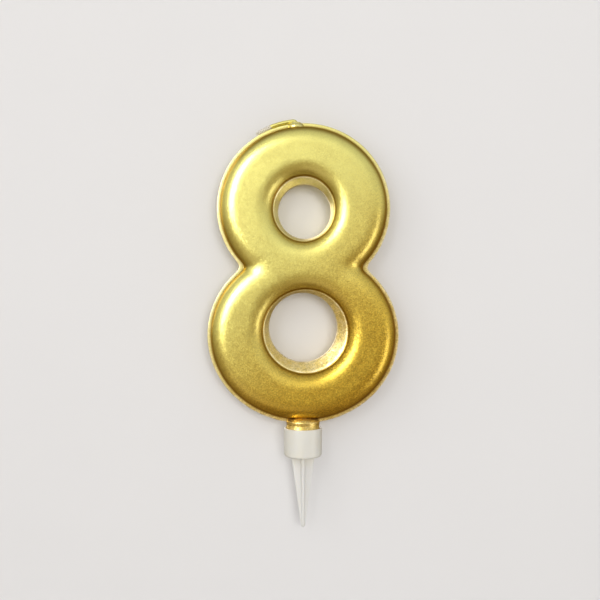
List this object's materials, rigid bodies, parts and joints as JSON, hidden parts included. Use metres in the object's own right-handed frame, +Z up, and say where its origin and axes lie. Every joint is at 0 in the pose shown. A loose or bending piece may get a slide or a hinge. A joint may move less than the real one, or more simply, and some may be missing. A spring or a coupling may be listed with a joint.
{
  "type": "number birthday candle",
  "caption": "Figure eight birthday candle in gold lacquered wax, with a folded wick and a push-in plastic cake holder.",
  "frame": {"origin": "centre of the holder cup's underside, where the cup rests on the top of the cake", "axes": "+Z up the candle and out of the cake, +X to the right of someone facing the figure, -Y out of the front"},
  "size_m": [0.0764, 0.0152, 0.1636],
  "materials": {
    "wax": "satin",
    "gold_lacquer": "satin",
    "wick_cotton": "matte",
    "holder_plastic": "satin"
  },
  "bodies": {
    "holder": {"holder": "holder_plastic"},
    "candle": {"wax_body": "wax", "gold_coat": "gold_lacquer", "wick": "wick_cotton"},
    "wick_end": {"wick_tip": "wick_cotton"}
  },
  "joints": [
    {"name": "candle_lift", "type": "slide", "parent": "holder", "child": "candle", "axis": [0, 0, 1], "range_m": [0, 0.016]},
    {"name": "wick_fold", "type": "hinge", "parent": "candle", "child": "wick_end", "pos_m": [-0.0028, 0, 0.13429], "axis": [0, 1, 0], "range_deg": [0, 105]}
  ]
}
